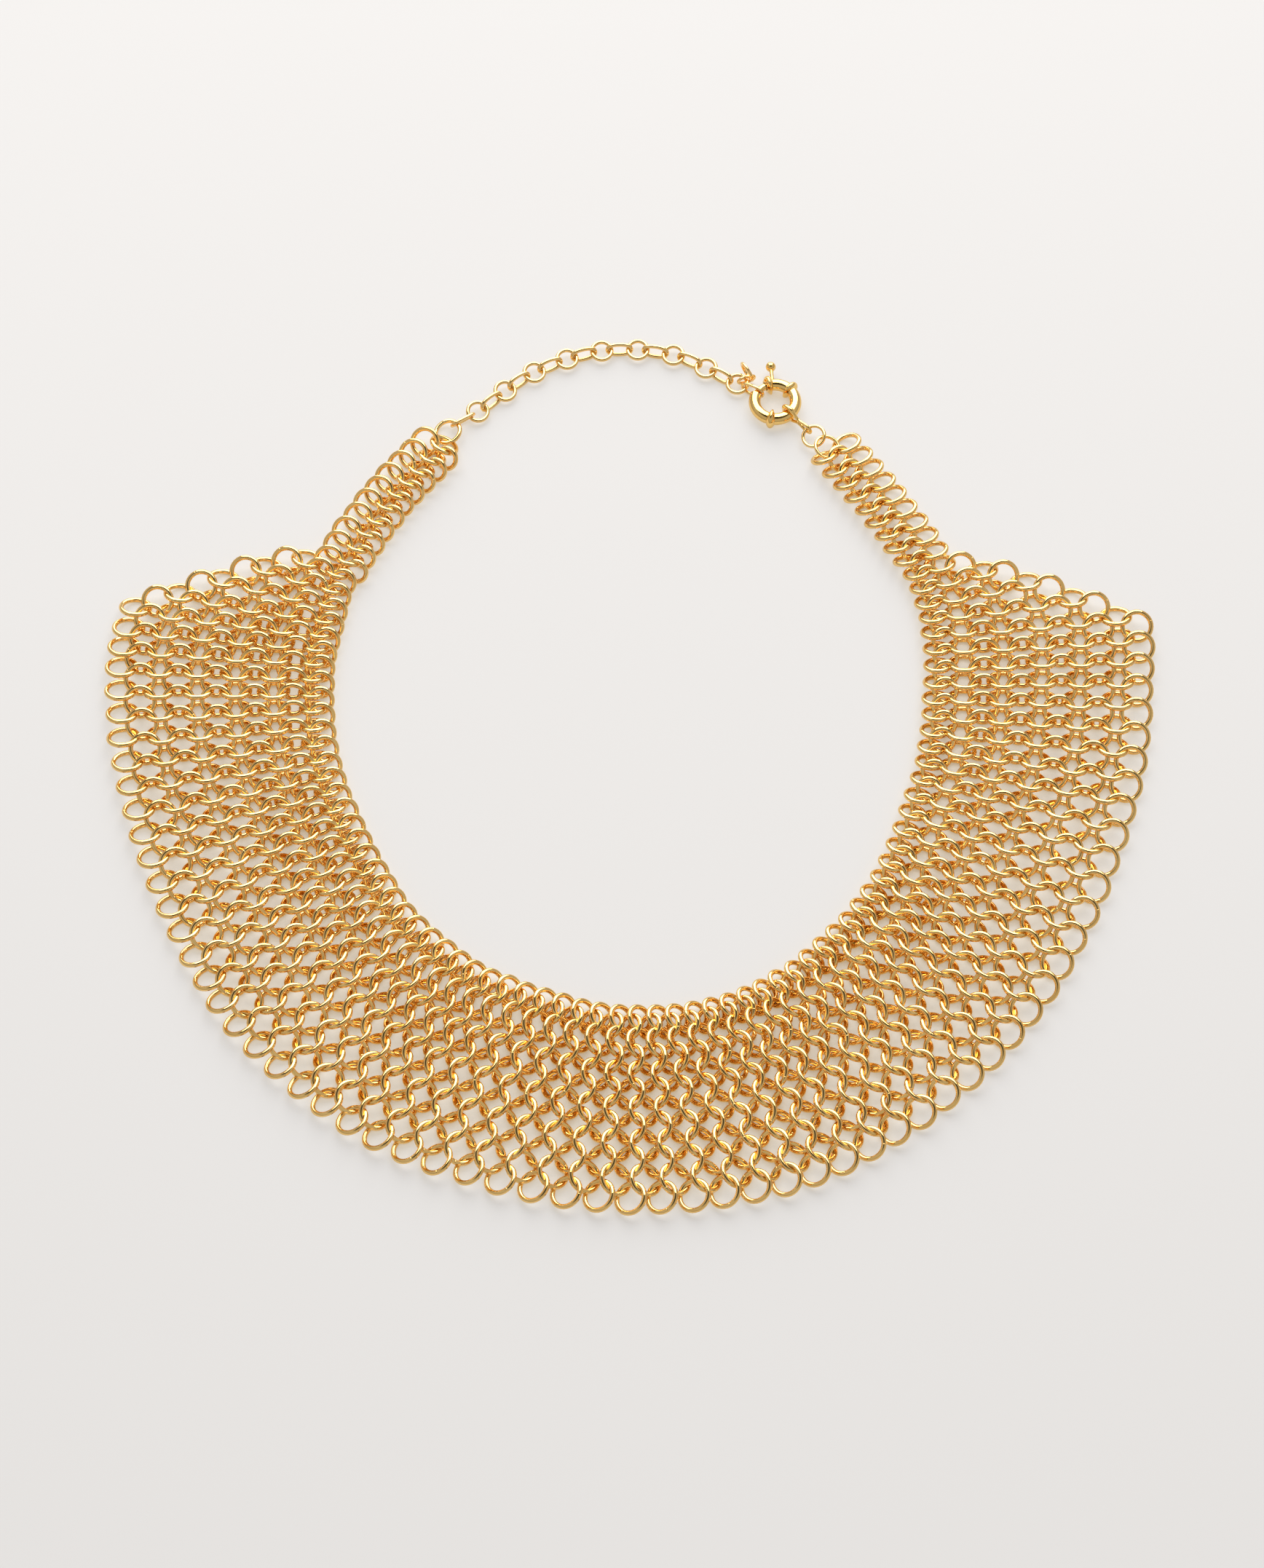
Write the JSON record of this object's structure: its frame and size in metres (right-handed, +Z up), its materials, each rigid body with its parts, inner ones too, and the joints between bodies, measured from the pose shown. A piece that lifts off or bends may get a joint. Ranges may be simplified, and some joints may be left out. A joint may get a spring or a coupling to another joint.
{
  "type": "choker necklace",
  "caption": "Wide chain-mail bib choker with two narrow straps, an extension chain of round and oval links and a spring-ring clasp, laid flat as a closed loop.",
  "frame": {"origin": "centre of the footprint, on the surface that the necklace lies on", "axes": "+Z up; +X across the bib from the left strap to the right strap; +Y from the bib towards the chain and clasp"},
  "size_m": [0.2278, 0.2107, 0.006],
  "materials": {
    "mail": "polished gold-tone plating",
    "chain": "polished gold-tone plating",
    "clasp": "polished gold-tone plating"
  },
  "bodies": {
    "necklace": {"mail_bib_01": "mail", "mail_bib_02": "mail", "mail_bib_03": "mail", "mail_bib_04": "mail", "mail_bib_05": "mail", "mail_bib_06": "mail", "mail_bib_07": "mail", "mail_bib_08": "mail", "mail_bib_09": "mail", "mail_bib_10": "mail", "mail_bib_11": "mail", "mail_bib_12": "mail", "mail_strap_left": "mail", "mail_strap_right": "mail", "strap_end_ring": "chain", "connector_link": "chain", "chain_round_1": "chain", "chain_round_2": "chain", "chain_round_3": "chain", "chain_round_4": "chain", "chain_round_5": "chain", "chain_round_6": "chain", "chain_round_7": "chain", "chain_round_8": "chain", "chain_round_9": "chain", "chain_oval_1": "chain", "chain_oval_2": "chain", "chain_oval_3": "chain", "chain_oval_4": "chain", "chain_oval_5": "chain", "chain_oval_6": "chain", "chain_oval_7": "chain", "chain_oval_8": "chain", "hook_link": "chain", "tail_link": "chain", "tail_ring": "chain", "clasp_body": "clasp", "clasp_eight": "clasp", "jump_ring_outer": "chain", "jump_ring_inner": "chain"},
    "gate": {"clasp_gate": "clasp"}
  },
  "joints": [
    {"name": "clasp_gate_slide", "type": "hinge", "parent": "necklace", "child": "gate", "pos_m": [0.0325, 0.0882, 0.00227], "axis": [0, 0, 1], "range_deg": [-41, 0], "stiffness_Nm_per_rad": 0.004}
  ]
}
